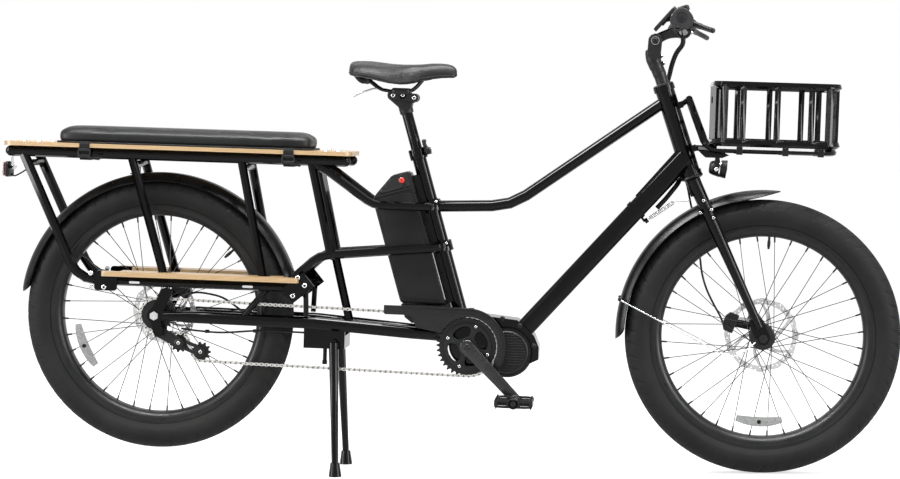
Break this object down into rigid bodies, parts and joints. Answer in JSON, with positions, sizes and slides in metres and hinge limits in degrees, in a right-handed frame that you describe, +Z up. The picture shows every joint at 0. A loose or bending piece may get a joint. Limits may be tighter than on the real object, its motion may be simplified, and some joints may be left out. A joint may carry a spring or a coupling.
{
  "type": "longtail cargo bike",
  "caption": "Electric longtail cargo bike with a curved step-through frame, long rear deck with cushion and side boards, front basket and a double-leg stand.",
  "frame": {"origin": "centre of the bounding box at ground level, parked on the front tyre and both feet of the stand", "axes": "+X forward, +Y to the rider's left, +Z up; the frame is parked about 2.1 degrees nose down"},
  "size_m": [2.182, 0.653, 1.1253],
  "materials": {
    "black_paint": "gloss black paint",
    "satin_black": "satin black",
    "black_plastic": "moulded black",
    "silver": "bright steel",
    "chain_steel": "bare steel",
    "plywood": "clear-coated plywood",
    "tyre_rubber": "matt tread rubber",
    "grip_rubber": "matt rubber",
    "seat_cover": "charcoal cover over foam",
    "button_orange": "orange-red moulding"
  },
  "bodies": {
    "frame": {"head_tube": "black_paint", "top_tube": "black_paint", "down_tube": "black_paint", "seat_tube": "black_paint", "motor_shell": "black_paint", "motor_unit": "black_plastic", "chainstays": "black_paint", "rack_and_upper_stays": "black_paint", "mid_frame": "black_paint", "mid_hoop_rear": "black_paint", "mid_hoop_front": "black_paint", "foot_rail_loop": "black_paint", "running_board_right": "plywood", "running_board_left": "plywood", "cargo_deck": "plywood", "passenger_cushion": "seat_cover", "rear_mudguard": "black_plastic", "rear_light": "black_plastic", "carrier_frame": "satin_black", "basket": "satin_black", "headlight": "black_plastic", "chain_guard": "satin_black", "rear_caliper": "satin_black", "rear_axle": "silver", "cable_loom": "black_plastic", "chain": "chain_steel", "steering_spring": "silver"},
    "battery": {"battery_pack": "black_plastic"},
    "battery_button": {"battery_button": "button_orange"},
    "seat": {"seatpost": "satin_black", "saddle": "seat_cover"},
    "clamp_lever": {"seat_clamp_lever": "satin_black"},
    "fork": {"fork": "black_paint", "front_axle": "silver", "front_caliper": "satin_black", "front_mudguard": "black_plastic", "stem": "satin_black"},
    "handlebar": {"handlebar": "satin_black", "grip_left": "grip_rubber", "grip_right": "grip_rubber", "display": "black_plastic"},
    "brake_lever_right": {"brake_lever_right": "satin_black"},
    "brake_lever_left": {"brake_lever_left": "satin_black"},
    "front_wheel": {"front_tyre": "tyre_rubber", "front_rim": "black_paint", "front_hub": "satin_black", "front_rotor": "silver"},
    "rear_wheel": {"rear_tyre": "tyre_rubber", "rear_rim": "black_paint", "rear_hub": "satin_black", "rear_rotor": "silver"},
    "cranks": {"crankset_right": "satin_black", "crank_left": "satin_black"},
    "pedal_right": {"pedal_right": "black_plastic"},
    "pedal_left": {"pedal_left": "black_plastic"},
    "cog": {"rear_cog": "chain_steel"},
    "tensioner": {"tensioner_arm": "satin_black"},
    "guide_pulley": {"guide_pulley": "black_plastic"},
    "tension_pulley": {"tension_pulley": "black_plastic"},
    "kickstand": {"kickstand": "satin_black"}
  },
  "joints": [
    {"name": "steering", "type": "hinge", "parent": "frame", "child": "fork", "pos_m": [0.71332, 0, 0.33179], "axis": [-0.2982, 0, 0.9545], "range_deg": [-50, 50], "stiffness_Nm_per_rad": 6, "deforming": ["steering_spring", "cable_loom"]},
    {"name": "stem_tilt", "type": "hinge", "parent": "fork", "child": "handlebar", "pos_m": [0.50599, 0, 1.04229], "axis": [0, -1, 0], "range_deg": [-20, 50], "deforming": ["cable_loom"]},
    {"name": "brake_lever_right", "type": "hinge", "parent": "handlebar", "child": "brake_lever_right", "pos_m": [0.59624, -0.176, 1.07462], "axis": [-0.4059, 0, -0.9139], "range_deg": [0, 16], "stiffness_Nm_per_rad": 1, "springref_deg": -28.65},
    {"name": "brake_lever_left", "type": "hinge", "parent": "handlebar", "child": "brake_lever_left", "pos_m": [0.59624, 0.176, 1.07462], "axis": [0.4059, 0, 0.9139], "range_deg": [0, 16], "stiffness_Nm_per_rad": 1, "springref_deg": -28.65},
    {"name": "front_wheel_spin", "type": "hinge", "parent": "fork", "child": "front_wheel", "pos_m": [0.76103, 0, 0.33], "axis": [0, 1, 0], "continuous": true},
    {"name": "rear_wheel_spin", "type": "hinge", "parent": "frame", "child": "rear_wheel", "pos_m": [-0.70634, 0, 0.38505], "axis": [0, 1, 0], "continuous": true},
    {"name": "crank_spin", "type": "hinge", "parent": "frame", "child": "cranks", "pos_m": [0.05376, 0, 0.3095], "axis": [0, 1, 0], "continuous": true},
    {"name": "pedal_right_spin", "type": "hinge", "parent": "cranks", "child": "pedal_right", "pos_m": [0.17003, 0, 0.18548], "axis": [0, 1, 0], "continuous": true},
    {"name": "pedal_left_spin", "type": "hinge", "parent": "cranks", "child": "pedal_left", "pos_m": [-0.06251, 0, 0.43353], "axis": [0, 1, 0], "continuous": true},
    {"name": "cog_spin", "type": "hinge", "parent": "frame", "child": "cog", "pos_m": [-0.70634, 0, 0.38505], "axis": [0, 1, 0], "continuous": true},
    {"name": "tensioner_swing", "type": "hinge", "parent": "frame", "child": "tensioner", "pos_m": [-0.69845, 0, 0.34473], "axis": [0, 1, 0], "range_deg": [-6, 8], "stiffness_Nm_per_rad": 8, "deforming": ["chain"]},
    {"name": "guide_pulley_spin", "type": "hinge", "parent": "tensioner", "child": "guide_pulley", "pos_m": [-0.65042, 0, 0.31791], "axis": [0, 1, 0], "continuous": true},
    {"name": "tension_pulley_spin", "type": "hinge", "parent": "tensioner", "child": "tension_pulley", "pos_m": [-0.59824, 0, 0.29494], "axis": [0, 1, 0], "continuous": true},
    {"name": "kickstand_fold", "type": "hinge", "parent": "frame", "child": "kickstand", "pos_m": [-0.27012, 0, 0.31865], "axis": [0, 1, 0], "range_deg": [0, 80]},
    {"name": "seatpost_slide", "type": "slide", "parent": "frame", "child": "seat", "axis": [-0.2546, 0, 0.967], "range_m": [-0.08, 0.06]},
    {"name": "clamp_lever_open", "type": "hinge", "parent": "frame", "child": "clamp_lever", "pos_m": [-0.04235, 0, 0.78056], "axis": [0, 1, 0], "range_deg": [0, 100]},
    {"name": "battery_slide", "type": "slide", "parent": "frame", "child": "battery", "axis": [-0.2546, 0, 0.967], "range_m": [0, 0.08]},
    {"name": "battery_button_press", "type": "slide", "parent": "battery", "child": "battery_button", "axis": [0, 1, 0], "range_m": [0, 0.0015], "stiffness_N_per_m": 600, "springref_m": -0.004}
  ],
  "couplings": [
    {"joint": "cog_spin", "follows": "crank_spin", "ratio": 1.8},
    {"joint": "guide_pulley_spin", "follows": "crank_spin", "ratio": -3.2727},
    {"joint": "tension_pulley_spin", "follows": "crank_spin", "ratio": 3.2727}
  ]
}
